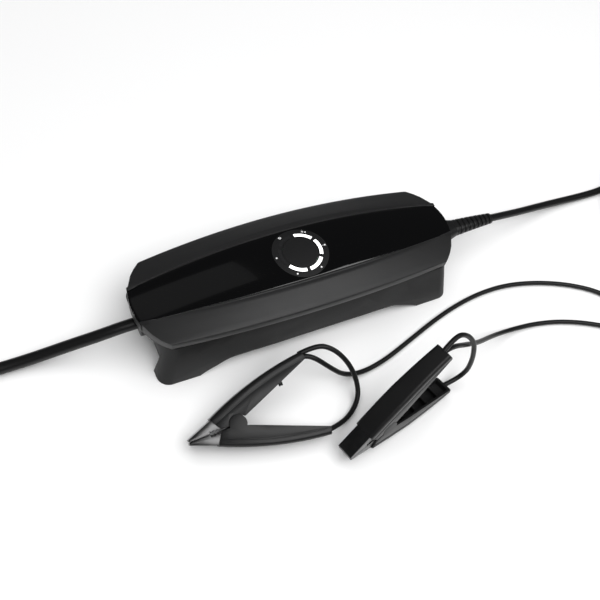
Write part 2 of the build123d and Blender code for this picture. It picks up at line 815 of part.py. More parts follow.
def arm_hollow():
    """The channel on the arm's inner side, with room for the back of the jaw at its front."""
    with BuildSketch() as face:
        with BuildLine():
            Polyline((23.6, 10.2), (23.6, 9.35), (15.2, 7.62), (13.0, 6.8), (13.0, -4), (36, -4), (81.5, 15))
            Polyline((81.5, 15), (78.3, 24.3))
            ThreePointArc((78.3, 24.3), (41.9, 16.8), (23.6, 10.2))
        make_face()
    wide = extrude(face.sketch, ARM_INNER_HALF, both=True)
    return wide & arm_plan(ARM_INNER_HALF, ARM_INNER_HALF - 1.3)


def at_pivot(radius, thickness):
    return Pos(PIVOT_X, 0, 0) * Cylinder(radius, thickness)


def side_grooves():
    """A groove along each side of the arm, at one distance below the curved back all along."""
    back = ThreePointArc(*ARM_BACK)
    outer = back.radius - GROOVE_BELOW_BACK
    band = Cylinder(outer, 40) - Cylinder(outer - GROOVE_WIDTH, 50)
    half = ARM_WIDTH / 2 - GROOVE_DEPTH
    return Pos(*back.arc_center) * band - arm_plan(half, half - 1.3)


def plain_arm():
    block = arm_block() - side_grooves()
    arm = block - arm_hollow()
    for x in RIB_PLACES:
        arm += block & box_between((x, 3.4 + 0.22 * x, -ARM_INNER_HALF), (x + 1.2, 40, ARM_INNER_HALF))
    return arm


def upper_arm():
    """The moving arm: cut back round the pivot, with a pair of lugs between the other arm's ears, and
    a small stud on one of the ribs.
    """
    arm = plain_arm()
    for cut in both_sides(5.2, 8.0, lambda t: at_pivot(EAR_RADIUS + 0.4, t)):
        arm -= cut
    for lug in both_sides(LUG_INNER, LUG_OUTER, lambda t: at_pivot(4.2, t)):
        arm += lug
    for web in both_sides(LUG_INNER, LUG_OUTER, lambda t: Pos(PIVOT_X, 5.8, 0) * Box(7, 11.6, t)):
        arm += web
    for root in both_sides(LUG_INNER, ARM_INNER_HALF + 0.2, lambda t: Pos(PIVOT_X, 9.1, 0) * Box(7, 5.4, t)):
        arm += root
    arm += Pos(STUD_X, 15.2, 0) * Rot(90, 0, 0) * Cylinder(1.3, 7.8)
    return arm - at_pivot(PIN_RADIUS + 0.05, 20)


def lower_arm():
    """The arm that carries the pivot pin in a pair of ears."""
    arm = mirrored(plain_arm())
    for ear in both_sides(EAR_INNER, ARM_WIDTH / 2, lambda t: at_pivot(EAR_RADIUS, t)):
        arm += ear
    return arm - at_pivot(PIN_RADIUS, PIN_LENGTH)


def jaw():
    """Pressed steel: a back and two toothed flanges, closed at the nose."""
    teeth = []
    for i in range(4):
        teeth += [(14.1 + 2.2 * i, 0.4), (15.2 + 2.2 * i, 1.6)]
    with BuildSketch() as side:
        with BuildLine():
            front = [(1.0, 0.15), (0.0, 0.5), (0.0, 1.6), (15.3, 7.5), (23.4, 9.2), (23.4, 1.6)]
            Polyline(*front, *reversed(teeth), (13.0, 1.6), (13.0, 0.15), front[0])
        make_face()
    with BuildSketch() as channel:
        with BuildLine():
            Polyline((4.0, -1), (4.0, 2.1), (15.3, 6.45), (26.0, 8.7), (26.0, -1), (4.0, -1))
        make_face()
    steel = extrude(side.sketch, JAW_WIDTH / 2, both=True)
    return steel - extrude(channel.sketch, JAW_WIDTH / 2 - JAW_STEEL, both=True)


def pivot_pin():
    return at_pivot(PIN_RADIUS, PIN_LENGTH)


def wire_between(start, end, radius):
    run = Vector(*end) - Vector(*start)
    return Plane(origin=start, z_dir=run).location * Pos(0, 0, run.length / 2) * Cylinder(radius, run.length)


def torsion_spring():
    """Four turns round the pin, with a leg under each arm."""
    spring = None
    for i in range(4):
        turn = Pos(PIVOT_X, 0, -1.2 + 0.8 * i) * Torus(2.6, 0.45)
        spring = turn if spring is None else spring + turn
    spring += wire_between((PIVOT_X - 1, 2.5, 1.2), (46, 13.0, 1.2), 0.45)
    return spring + wire_between((PIVOT_X - 1, -2.5, -1.2), (46, -13.0, -1.2), 0.45)


CLAMP_PARTS = {
    "upper_arm": upper_arm,
    "lower_arm": lower_arm,
    "upper_jaw": jaw,
    "lower_jaw": lambda: mirrored(jaw()),
    "pivot_pin": pivot_pin,
    "torsion_spring": torsion_spring,
}


# ---------------------------------------------------------------- all the pieces

PIECES = {
    "top_cover": top_cover,
    "gloss_panel": gloss_panel,
    "start_button": start_button,
    "light_guide": light_guide,
    "display_board": display_board,
    "ring_leds": ring_leds,
    "tact_switch": tact_switch,
    "cover_seal": cover_seal,
    "bottom_shell": bottom_shell,
    "case_screws": case_screws,
    "circuit_board": circuit_board,
    "transformer_core": transformer_core,
    "transformer_winding": transformer_winding,
    "input_capacitor": lambda: can_capacitor(54, 4, 8.0, 16.0),
    "output_capacitors": output_capacitors,
    "filter_choke": filter_choke,
    "heat_sink": heat_sink,
    "power_transistors": power_transistors,
    "output_relay": output_relay,
    "fuse": fuse,
    "mains_inlet": mains_inlet,
    "inlet_pins": inlet_pins,
    "mains_connector": mains_connector,
    "mains_boot": mains_boot,
    "mains_lead": lambda: cord_tube("mains_lead", MAINS_ROUTE, MAINS_LEAD),
    "mains_lead_coil": lambda: coil_solid(MAINS_COIL),
    "mains_lead_tail": lambda: cord_tube("mains_lead_tail", MAINS_TAIL, MAINS_LEAD),
    "mains_plug": lambda: placed(*MAINS_PLUG_AT, [plug_blank()]),
    "mains_plug_pins": lambda: placed(*MAINS_PLUG_AT, plug_pins()),
    "output_gland": output_gland,
    "output_lead": lambda: cord_tube("output_lead", OUTPUT_ROUTE, OUTPUT_LEAD),
    "output_lead_coil": lambda: coil_solid(OUTPUT_COIL),
    "output_lead_tail": lambda: cord_tube("output_lead_tail", OUTPUT_TAIL, OUTPUT_LEAD),
    "output_connector": lambda: placed(*OUTPUT_PLUG_AT, [connector_blank()]),
    "output_contacts": lambda: placed(*OUTPUT_PLUG_AT, socket_contacts()),
    "clamp_connector": lambda: placed(*CLAMP_PLUG_AT, [connector_blank()]),
    "clamp_contacts": lambda: placed(*CLAMP_PLUG_AT, socket_contacts()),
    "clamp_lead_left": lambda: cord_tube("clamp_lead_left", LEFT_LEAD_ROUTE, CLAMP_LEAD),
    "clamp_lead_right": lambda: cord_tube("clamp_lead_right", RIGHT_LEAD_ROUTE, CLAMP_LEAD),
    "clamp_lead_coil": lambda: coil_solid(CLAMP_COIL),
    "clamp_lead_tail": lambda: cord_tube("clamp_lead_tail", RIGHT_LEAD_TAIL, CLAMP_LEAD),
    "left_jumper": lambda: cord_tube("left_jumper", LEFT_JUMPER_ROUTE, JUMPER),
    "right_jumper": lambda: cord_tube("right_jumper", RIGHT_JUMPER_ROUTE, JUMPER),
    "cable_ties": cable_ties,
}


def write_piece(name, shape):
    """Write a piece to its own file. A list of solids becomes one piece of several solids."""
    if isinstance(shape, list):
        shape = shape[0] if len(shape) == 1 else Compound(children=shape)
    export_step(shape, f"parts/{name}.step")


def main():
    os.makedirs("parts", exist_ok=True)
    for name, build in PIECES.items():
        write_piece(name, build())
    for name, build in CLAMP_PARTS.items():
        shape = build()
        write_piece(f"left_{name}", clamp_place(*LEFT_CLAMP_AT) * shape)
        write_piece(f"right_{name}", clamp_place(*RIGHT_CLAMP_AT) * shape)


main()
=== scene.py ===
import json
import math

import bmesh
import bpy
from mathutils import Matrix, Vector


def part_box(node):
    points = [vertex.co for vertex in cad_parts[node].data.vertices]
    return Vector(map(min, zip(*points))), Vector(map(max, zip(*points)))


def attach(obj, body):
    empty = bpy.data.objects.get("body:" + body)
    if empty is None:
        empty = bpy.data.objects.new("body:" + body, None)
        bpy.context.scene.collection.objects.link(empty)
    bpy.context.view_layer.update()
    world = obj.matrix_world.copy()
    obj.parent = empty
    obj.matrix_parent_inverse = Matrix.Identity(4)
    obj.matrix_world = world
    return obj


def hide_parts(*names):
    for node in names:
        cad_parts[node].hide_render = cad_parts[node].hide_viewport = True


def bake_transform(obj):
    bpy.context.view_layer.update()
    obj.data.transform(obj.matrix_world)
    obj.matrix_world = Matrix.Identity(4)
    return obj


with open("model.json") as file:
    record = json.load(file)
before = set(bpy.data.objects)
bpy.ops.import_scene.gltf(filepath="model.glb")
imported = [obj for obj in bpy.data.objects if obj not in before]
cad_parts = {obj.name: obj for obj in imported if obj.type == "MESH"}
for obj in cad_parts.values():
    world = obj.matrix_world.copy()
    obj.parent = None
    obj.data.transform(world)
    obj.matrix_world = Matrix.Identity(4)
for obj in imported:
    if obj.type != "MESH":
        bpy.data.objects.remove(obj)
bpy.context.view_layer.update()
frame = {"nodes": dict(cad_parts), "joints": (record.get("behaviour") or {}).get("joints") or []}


# ---------------------------------------------------------------- where it stands
# The charger lies on a seamless pale table under a large soft light, with a weaker light from the
# other side. The camera looks down over the front left corner of the case.

TABLE_LIGHT = (0.90, 0.90, 0.90)
TABLE_DARK = (0.88, 0.88, 0.88)
TABLE_REACH = 6.0
TABLE_DROP = 0.0002


class Reading:
    """A value inside a finish. Sums written with it become nodes of that finish."""

    def __init__(self, finish, socket):
        self.finish = finish
        self.socket = socket

    def __add__(self, other):
        return self.finish.sum_of("ADD", self, other)

    def __radd__(self, other):
        return self.finish.sum_of("ADD", other, self)

    def __sub__(self, other):
        return self.finish.sum_of("SUBTRACT", self, other)

    def __rsub__(self, other):
        return self.finish.sum_of("SUBTRACT", other, self)

    def __mul__(self, other):
        return self.finish.sum_of("MULTIPLY", self, other)

    def __truediv__(self, other):
        return self.finish.sum_of("DIVIDE", self, other)

    def __gt__(self, other):
        return self.finish.sum_of("GREATER_THAN", self, other)

    def __lt__(self, other):
        return self.finish.sum_of("LESS_THAN", self, other)


class Finish:
    """A material with one Principled shader, whose steady values are set on the shader's sockets."""

    def __init__(self, name, **steady):
        self.material = bpy.data.materials.new(name)
        self.material.use_nodes = True
        self.nodes = self.material.node_tree.nodes
        self.links = self.material.node_tree.links
        self.shader = self.nodes["Principled BSDF"]
        for key, value in steady.items():
            self.set(key.replace("_", " "), value)

    def feed(self, socket, value):
        if isinstance(value, Reading):
            self.links.new(value.socket, socket)
        else:
            socket.default_value = value

    def set(self, socket, value):
        if socket in ("Base Color", "Emission Color") and not isinstance(value, Reading):
            value = (*value, 1.0)
        self.feed(self.shader.inputs[socket], value)

    def node(self, kind, settings, inputs, output=0):
        """Adds a node: its settings first, then the values or links of its sockets."""
        made = self.nodes.new(kind)
        for key, value in settings.items():
            if key == "stops":
                for element, (place, level) in zip(made.color_ramp.elements, value):
                    element.position = place
                    element.color = (level, level, level, 1.0)
            else:
                setattr(made, key, value)
        for key, value in inputs.items():
            self.feed(made.inputs[key], value)
        return Reading(self, made.outputs[output])

    def sum_of(self, operation, a, b=0.0):
        return self.node("ShaderNodeMath", {"operation": operation}, {0: a, 1: b})

    def place(self):
        return self.node("ShaderNodeTexCoord", {}, {}, "Object")

    def noise(self, scale, detail=2.0, where=None):
        where = self.place() if where is None else where
        inputs = {"Vector": where, "Scale": scale, "Detail": detail}
        return self.node("ShaderNodeTexNoise", {}, inputs)

    def stretched(self, size):
        return self.node("ShaderNodeMapping", {}, {"Vector": self.place(), "Scale": size})

    def ramp(self, value, low, high):
        stops = ((low, 0.0), (high, 1.0))
        return self.node("ShaderNodeValToRGB", {"stops": stops}, {"Fac": value})

    def mix(self, share, a, b):
        """Colour a where share is 0, and b where it is 1."""
        inputs = {0: share}
        for key, colour in ((6, a), (7, b)):
            inputs[key] = colour if isinstance(colour, Reading) else (*colour, 1.0)
        return self.node("ShaderNodeMix", {"data_type": "RGBA"}, inputs, 2)

    def bump(self, height, distance):
        inputs = {"Height": height, "Distance": distance, "Strength": 1.0}
        self.set("Normal", self.node("ShaderNodeBump", {}, inputs))


def new_object(name, mesh):
    made = bpy.data.objects.new(name, mesh)
    bpy.context.collection.objects.link(made)
    return made


table_finish = Finish("studio_table", Roughness=0.62)
table_finish.set("Base Color", table_finish.mix(table_finish.noise(3.0), TABLE_DARK, TABLE_LIGHT))
sheet = bmesh.new()
bmesh.ops.create_grid(sheet, x_segments=2, y_segments=2, size=TABLE_REACH)
table_mesh = bpy.data.meshes.new("studio_table")
sheet.to_mesh(table_mesh)
sheet.free()
table_mesh.materials.append(table_finish.material)
table = new_object("studio_table", table_mesh)
table.location.z = -TABLE_DROP


LIGHTS_AIM = Vector((0.03, -0.02, 0.02))


def soft_light(name, place, size, power, reflected=True):
    """A soft box aimed at the case. One that isn't reflected leaves no bright patch on the panel."""
    lamp = bpy.data.lights.new(name, "AREA")
    lamp.shape = "RECTANGLE"
    lamp.size, lamp.size_y = size
    lamp.energy = power
    holder = bpy.data.objects.new(name, lamp)
    holder.location = place
    holder.rotation_euler = (LIGHTS_AIM - Vector(place)).to_track_quat("-Z", "Y").to_euler()
    holder.visible_glossy = reflected
    bpy.context.collection.objects.link(holder)


soft_light("overhead_silk", (0.0, 0.0, 1.6), (2.6, 2.6), 40.0, False)
soft_light("key_softbox", (0.30, -0.62, 1.10), (1.2, 0.7), 8.0)
soft_light("grey_card", (-0.05, 0.62, 1.25), (0.55, 0.6), 0.12)
room = bpy.data.worlds.new("room")
room.use_nodes = True
room_light = room.node_tree.nodes["Background"].inputs
room_light["Color"].default_value = (0.93, 0.95, 1.0, 1.0)
room_light["Strength"].default_value = 0.04
bpy.context.scene.world = room
bpy.context.scene.view_settings.view_transform = "Standard"

lens = bpy.data.cameras.new("camera")
lens.lens = 47.0
lens.sensor_width = 36.0
lens.clip_start = 0.01
camera = bpy.data.objects.new("camera", lens)
looking = Matrix(((0.90379, 0.27486, -0.32804),
                  (-0.40339, 0.80314, -0.43845),
                  (0.14295, 0.52859, 0.83675)))
camera.matrix_world = Matrix.Translation((-0.16834, -0.23746, 0.43863)) @ looking.to_4x4()
bpy.context.collection.objects.link(camera)
bpy.context.scene.camera = camera


# ---------------------------------------------------------------- leads
# Smooth black vinyl leads. They droop from where they leave the case or the clamps to the table, run
# out of sight along it, and the spare length is wound into flat coils held by ties.


def moulded(name, dark, light, roughness, grain=1700.0, depth=0.00003, **steady):
    """Injection-moulded plastic: clouded colour, uneven sheen, and the fine grain of the tool."""
    finish = Finish(name, **steady)
    cloud = finish.noise(38.0, 3.0)
    handled = finish.noise(9.0, 4.0)
    finish.set("Base Color", finish.mix(cloud, dark, light))
    finish.set("Roughness", roughness + (cloud - 0.5) * 0.10 + (handled - 0.5) * 0.16)
    finish.bump(finish.noise(grain, 2.0), depth)
    return finish.material


VINYL_DARK = (0.0045, 0.0045, 0.0047)
VINYL_LIGHT = (0.007, 0.007, 0.0072)
lead_vinyl = moulded("lead_vinyl", VINYL_DARK, VINYL_LIGHT, 0.40, 900.0, 0.00002, Specular_IOR_Level=0.35)
clamp_lead_vinyl = moulded("clamp_lead_vinyl", VINYL_DARK, VINYL_LIGHT, 0.38, 900.0, 0.00002,
                           Specular_IOR_Level=0.35)


def in_metres(points):
    return [Vector(point) / 1000.0 for point in points]


COIL_STEP = 20.0
COIL_LIFT = 1.0
CROSSING_STARTS = 0.78


def coil_turns(middle, mean_radius, start, sweep, slots, diameter):
    """Points round a coil, clockwise from start over sweep degrees. slots gives each turn's place in
    the coil, as its column and its layer, and a turn moves to the next place over its last part."""
    count = round(sweep / COIL_STEP)
    points = []
    for i in range(1, count):
        turned = sweep * i / count
        turn = int(turned // 360)
        last_part = max(0.0, (turned / 360 - turn - CROSSING_STARTS) / 0.22)
        ease = last_part * last_part * (3 - 2 * last_part)
        here = Vector(slots[turn])
        after = Vector(slots[min(turn + 1, len(slots) - 1)])
        column, layer = here.lerp(after, ease)
        radius = mean_radius + column * diameter
        angle = math.radians(start - turned)
        x = middle[0] + radius * math.cos(angle)
        y = middle[1] + radius * math.sin(angle)
        points.append((x, y, COIL_LIFT + (layer + 0.5) * diameter))
    return points


def lead_curve(name, route, finish):
    """The line a lead follows: one smooth curve along its route."""
    curve = bpy.data.curves.new(name, "CURVE")
    curve.dimensions = "3D"
    line = curve.splines.new("NURBS")
    line.points.add(len(route) - 1)
    for point, place in zip(line.points, in_metres(route)):
        point.co = (*place, 1.0)
    line.order_u = 3
    line.use_endpoint_u = True
    line.resolution_u = 6
    curve.twist_mode = "Z_UP"
    curve.materials.append(finish)
    return new_object(name, curve), curve


def centreline(lead):
    """Points along the lead's own line, in order, and its length."""
    bpy.context.view_layer.update()
    line = bpy.data.meshes.new_from_object(lead)
    points = [vertex.co.copy() for vertex in line.vertices]
    return points, sum((b - a).length for a, b in zip(points, points[1:]))


def round_lead(name, route, diameter, finish):
    """A lead with a round section, its line's points and its length."""
    lead, curve = lead_curve(name, route, finish)
    points, length = centreline(lead)
    curve.bevel_depth = diameter / 2000.0
    curve.bevel_resolution = 5
    curve.use_fill_caps = True
    return lead, points, length


def lead_mesh(name, route, diameter, finish):
    """A lead as a mesh, with its line's points and its length."""
    lead, points, length = round_lead(name, route, diameter, finish)
    tube = bpy.data.meshes.new_from_object(lead)
    bpy.data.objects.remove(lead)
    return new_object(name, tube), points, length


OUTPUT_DIAMETER = 7.5
output_route = [
    (-99.0, -1.5, 22.0),
    (-112.0, -1.5, 22.0),
    (-129.0, -0.7, 18.2),
    (-146.0, 1.5, 13.0),
    (-164.0, 3.4, 7.6),
    (-182.0, 4.6, 4.3),
    (-200.0, 5.0, 3.9),
    (-214.0, 5.2, 4.3),
    (-228.0, 5.2, 4.7),
]
output_slots = [(0.5, 0), (-0.5, 0), (-0.5, 1), (0.5, 1)]
output_route += coil_turns((-238, 50), 41.0, -90, 1170, output_slots, OUTPUT_DIAMETER)
output_route += [(-282.8, 60.0, 12.0), (-282.8, 70.0, 10.6), (-282.8, 81.0, 7.3), (-282.8, 92.5, 5.5)]
output_lead, _, output_length = round_lead("output_lead_whole", output_route, OUTPUT_DIAMETER, lead_vinyl)
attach(output_lead, "case")
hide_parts("output_lead", "output_lead_coil", "output_lead_tail")

MAINS_DIAMETER = 5.4
mains_route = [
    (156.0, 1.4, 18.4),
    (171.0, 2.4, 15.2),
    (186.0, 3.6, 11.8),
    (204.0, 5.2, 8.2),
    (224.0, 6.4, 5.0),
    (244.0, 6.4, 3.3),
    (264.0, 6.2, 2.8),
    (281.0, 7.5, 3.4),
    (291.0, 7.8, 3.7),
]
mains_slots = [(0.5, 0), (-0.5, 0), (-0.5, 1), (0.5, 1), (0.5, 2), (-0.5, 2), (-0.5, 3), (0.5, 3)]
mains_route += coil_turns((300, -25), 30.0, 90, 2610, mains_slots, MAINS_DIAMETER)
mains_route += [
    (332.7, -33.0, 19.6),
    (332.7, -41.0, 18.0),
    (332.7, -50.0, 14.0),
    (332.7, -61.0, 8.8),
    (332.7, -73.0, 6.8),
]
mains_lead, _, mains_length = round_lead("mains_lead_whole", mains_route, MAINS_DIAMETER, lead_vinyl)
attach(mains_lead, "case")
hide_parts("mains_lead", "mains_lead_coil", "mains_lead_tail")

CLAMP_LEAD_DIAMETER = 3.2
left_route = [
    (-27.5, -58.0, 24.6),
    (-23.4, -58.0, 25.3),
    (-18.2, -58.9, 25.5),
    (-13.0, -62.2, 23.8),
    (-5.0, -67.4, 16.5),
    (5.0, -71.0, 6.4),
    (19.0, -71.5, 1.7),
    (37.0, -68.5, 1.6),
    (58.0, -61.6, 1.6),
    (81.0, -53.8, 1.6),
    (104.0, -47.6, 1.6),
    (127.0, -44.4, 1.6),
    (149.0, -45.0, 1.6),
    (172.0, -50.6, 1.6),
    (194.0, -60.0, 1.6),
    (212.0, -72.6, 1.8),
    (224.0, -91.0, 2.6),
    (229.0, -106.0, 4.6),
    (240.6, -122.3, 5.5),
]
left_lead, left_line, left_length = lead_mesh(
    "clamp_lead_left_whole", left_route, CLAMP_LEAD_DIAMETER, clamp_lead_vinyl)
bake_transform(left_lead)
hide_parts("clamp_lead_left")

right_route = [
    (47.4, -95.6, 48.7),
    (51.0, -94.5, 49.5),
    (55.0, -93.5, 49.8),
    (62.0, -92.4, 47.0),
    (74.0, -90.6, 38.0),
    (89.0, -87.4, 26.4),
    (104.0, -82.6, 15.6),
    (119.0, -79.4, 7.4),
    (134.0, -78.2, 2.8),
    (151.0, -79.4, 1.6),
    (168.0, -83.4, 1.6),
    (186.0, -90.8, 1.7),
    (203.0, -101.0, 2.0),
    (212.0, -108.0, 2.3),
]
right_route += coil_turns((210, -128.5), 18.2, 67.7, 382.5, [(0, 0), (0, 1.0)], CLAMP_LEAD_DIAMETER)
right_route += [(223.0, -115.4, 5.8), (230.0, -120.2, 5.7), (237.8, -126.1, 5.5)]
right_lead, right_line, right_length = lead_mesh(
    "clamp_lead_right_whole", right_route, CLAMP_LEAD_DIAMETER, clamp_lead_vinyl)
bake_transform(right_lead)
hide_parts("clamp_lead_right", "clamp_lead_coil", "clamp_lead_tail")

left_jumper_route = [
    (-23.6, -56.2, 25.9),
    (-11.5, -55.6, 29.6),
    (-2.0, -60.4, 27.4),
    (5.6, -68.0, 20.0),
    (9.4, -76.4, 11.5),
    (8.4, -86.0, 5.0),
    (1.0, -93.6, 2.8),
    (-9.5, -99.2, 4.6),
    (-19.8, -101.3, 7.9),
]
left_jumper, left_jumper_line, left_jumper_length = lead_mesh(
    "left_jumper_wire", left_jumper_route, CLAMP_LEAD_DIAMETER, clamp_lead_vinyl)
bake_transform(left_jumper)
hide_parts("left_jumper")

right_jumper_route = [
    (49.6, -94.6, 51.4),
    (60.0, -89.4, 54.8),
    (69.0, -89.2, 51.4),
    (75.6, -92.4, 43.6),
    (77.8, -95.2, 33.0),
    (79.2, -96.8, 21.6),
    (79.0, -97.6, 11.4),
    (72.0, -98.2, 4.9),
    (63.3, -99.0, 5.05),
]
right_jumper, right_jumper_line, right_jumper_length = lead_mesh(
    "right_jumper_wire", right_jumper_route, CLAMP_LEAD_DIAMETER, clamp_lead_vinyl)
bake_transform(right_jumper)
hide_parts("right_jumper")


# ---------------------------------------------------------------- the clamps
# Two identical spring clamps: moulded grips, nickel-plated steel jaws, a steel pin through the ears
# and a torsion spring round it. A jumper joins each clamp's two jaws.


def smooth_by_angle(mesh, degrees):
    """Smooth shading, with the edges that turn by more than that kept sharp."""
    work = bmesh.new()
    work.from_mesh(mesh)
    for face in work.faces:
        face.smooth = True
    for edge in work.edges:
        edge.smooth = edge.calc_face_angle(0.0) < math.radians(degrees)
    work.to_mesh(mesh)
    work.free()


ROUNDED_ABOVE = 32.0
SMOOTH_BELOW = 40.0


def softened(node, width, finish, body, segments=2):
    """A copy of a CAD piece with its sharp edges rounded, which stands for that piece."""
    work = bmesh.new()
    work.from_mesh(frame["nodes"][node].data)
    bmesh.ops.remove_doubles(work, verts=work.verts, dist=0.00001)
    bmesh.ops.dissolve_limit(work, angle_limit=math.radians(1.0), verts=work.verts, edges=work.edges)
    mesh = bpy.data.meshes.new(node + "_finished")
    work.to_mesh(mesh)
    work.free()
    mesh.materials.clear()
    mesh.materials.append(finish)
    made = new_object(node + "_finished", mesh)
    rounding = made.modifiers.new("rounding", "BEVEL")
    rounding.width = width
    rounding.segments = segments
    rounding.limit_method = "ANGLE"
    rounding.angle_limit = math.radians(ROUNDED_ABOVE)
    bpy.context.view_layer.update()
    depsgraph = bpy.context.evaluated_depsgraph_get()
    rounded = bpy.data.meshes.new_from_object(made.evaluated_get(depsgraph))
    made.modifiers.clear()
    made.data = rounded
    smooth_by_angle(rounded, SMOOTH_BELOW)
    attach(made, body)
    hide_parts(node)
    return made


GRIP_DARK = (0.006, 0.006, 0.0062)
GRIP_LIGHT = (0.009, 0.009, 0.0092)
grip_plastic = moulded("grip_plastic", GRIP_DARK, GRIP_LIGHT, 0.38, 2100.0, Specular_IOR_Level=0.4)
jaw_finish = Finish("jaw_nickel", Metallic=1.0)
jaw_cloud = jaw_finish.noise(260.0, 3.0)
jaw_finish.set("Base Color", jaw_finish.mix(jaw_cloud, (0.12, 0.12, 0.12), (0.19, 0.19, 0.19)))
jaw_finish.set("Roughness", 0.24 + jaw_cloud * 0.16)
jaw_finish.bump(jaw_finish.noise(700.0, 2.0, jaw_finish.stretched((0.2, 1.0, 1.0))), 0.00002)
nickel = jaw_finish.material
steel_finish = Finish("drawn_steel", Metallic=1.0)
steel_cloud = steel_finish.noise(400.0)
steel_finish.set("Base Color", steel_finish.mix(steel_cloud, (0.32, 0.32, 0.33), (0.5, 0.5, 0.51)))
steel_finish.set("Roughness", 0.26 + steel_finish.noise(900.0) * 0.14)
drawn_steel = steel_finish.material

for side in ("left", "right"):
    for half, body in (("upper", side + "_clamp_arm"), ("lower", "case")):
        softened(side + "_" + half + "_arm", 0.0005, grip_plastic, body)
        softened(side + "_" + half + "_jaw", 0.00025, nickel, body)
    softened(side + "_pivot_pin", 0.0003, drawn_steel, "case")


def repaint(node, finish):
    """Gives its proper finish to a CAD piece whose shape stays as it is."""
    for slot in frame["nodes"][node].material_slots:
        slot.material = finish


# Each spring is wound round its pin and rests on the lower arm. Its other leg goes up with the upper
# arm, so that leg is a piece of its own, which begins where it leaves the turns.

TURNS_REACH = 0.0032


def spring_half(side, name, body, belongs):
    """The faces of the spring that belong to one half, as a piece that rides on that body."""
    work = bmesh.new()
    work.from_mesh(frame["nodes"][side + "_torsion_spring"].data)
    spare = [face for face in work.faces if not belongs(face.calc_center_median())]
    bmesh.ops.delete(work, geom=spare, context="FACES")
    mesh = bpy.data.meshes.new(name)
    work.to_mesh(mesh)
    work.free()
    mesh.materials.clear()
    mesh.materials.append(drawn_steel)
    smooth_by_angle(mesh, SMOOTH_BELOW)
    made = new_object(name, mesh)
    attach(made, body)
    return made


for side in ("left", "right"):
    hinge = next(joint for joint in frame["joints"] if joint["name"] == side + "_clamp_squeeze")
    pivot = Vector(hinge["pos_m"])
    axis = Vector(hinge["axis"]).normalized()
    arm_low, arm_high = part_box(side + "_upper_arm")
    other_low, other_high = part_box(side + "_lower_arm")
    upwards = Vector(arm_low) + Vector(arm_high) - Vector(other_low) - Vector(other_high)

    def on_moving_leg(spot):
        arm = spot - pivot
        off_axis = arm - axis * arm.dot(axis)
        return off_axis.length > TURNS_REACH and arm.dot(upwards) > 0

    turns = spring_half(side, side + "_spring_turns", "case", lambda spot: not on_moving_leg(spot))
    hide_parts(side + "_torsion_spring")
    spring_half(side, side + "_spring_leg", side + "_clamp_arm", on_moving_leg)


# ---------------------------------------------------------------- plugs and ties
# Moulded plugs at the far ends of the leads, all black, with plated contacts, and nylon ties.

plug_plastic = moulded("plug_plastic", GRIP_DARK, GRIP_LIGHT, 0.45)
brass_finish = Finish("plated_contacts", Metallic=1.0)
brass_cloud = brass_finish.noise(500.0)
brass_finish.set("Base Color", brass_finish.mix(brass_cloud, (0.62, 0.55, 0.42), (0.75, 0.69, 0.56)))
brass_finish.set("Roughness", 0.22 + brass_finish.noise(800.0) * 0.12)
plated = brass_finish.material
softened("mains_connector", 0.0008, plug_plastic, "case", 3)
softened("mains_boot", 0.0003, plug_plastic, "case")
mains_plug = softened("mains_plug", 0.0022, plug_plastic, "case", 4)
output_gland = softened("output_gland", 0.0008, plug_plastic, "case", 3)
output_plug = softened("output_connector", 0.0005, plug_plastic, "case")
clamp_plug = softened("clamp_connector", 0.0005, plug_plastic, "case")
softened("cable_ties", 0.0003, plug_plastic, "case")
for node in ("mains_plug_pins", "output_contacts", "clamp_contacts", "inlet_pins"):
    repaint(node, plated)


# ---------------------------------------------------------------- inside the case
# A fibreglass board with its parts. None of it shows until the case is opened.

board_finish = Finish("solder_mask", Coat_Weight=0.4)
tracks = board_finish.noise(420.0, 1.0, board_finish.stretched((1.0, 0.25, 1.0)))
copper = board_finish.ramp(tracks, 0.52, 0.56)
board_finish.set("Base Color", board_finish.mix(copper, (0.01, 0.10, 0.035), (0.02, 0.17, 0.06)))
board_finish.set("Roughness", 0.32 + board_finish.noise(200.0) * 0.12)
fibreglass = board_finish.material
ferrite = moulded("ferrite", (0.02, 0.02, 0.022), (0.035, 0.035, 0.038), 0.6, 1500.0, 0.00006)
winding = moulded("winding_tape", (0.55, 0.40, 0.06), (0.68, 0.52, 0.10), 0.34, 500.0)
sleeve = moulded("capacitor_sleeve", (0.012, 0.016, 0.05), (0.02, 0.025, 0.08), 0.3, 500.0)
sink_finish = Finish("sink_aluminium", Metallic=1.0)
sink_cloud = sink_finish.noise(90.0)
sink_finish.set("Base Color", sink_finish.mix(sink_cloud, (0.55, 0.55, 0.57), (0.7, 0.7, 0.71)))
drawn_lines = sink_finish.noise(600.0, 2.0, sink_finish.stretched((0.1, 1.0, 1.0)))
sink_finish.set("Roughness", 0.32 + drawn_lines * 0.2)
glass_finish = Finish("fuse_glass", Transmission_Weight=0.85, IOR=1.5)
glass_cloud = glass_finish.noise(300.0)
glass_finish.set("Base Color", glass_finish.mix(glass_cloud, (0.85, 0.9, 0.9), (0.95, 0.97, 0.97)))
glass_finish.set("Roughness", 0.05 + glass_finish.noise(400.0) * 0.05)
inside = {
    "circuit_board": fibreglass,
    "display_board": fibreglass,
    "transformer_core": ferrite,
    "filter_choke": ferrite,
    "transformer_winding": winding,
    "input_capacitor": sleeve,
    "output_capacitors": sleeve,
    "heat_sink": sink_finish.material,
    "fuse": glass_finish.material,
    "power_transistors": plug_plastic,
    "output_relay": plug_plastic,
    "tact_switch": plug_plastic,
    "mains_inlet": plug_plastic,
    "case_screws": drawn_steel,
}
for node, finish in inside.items():
    repaint(node, finish)
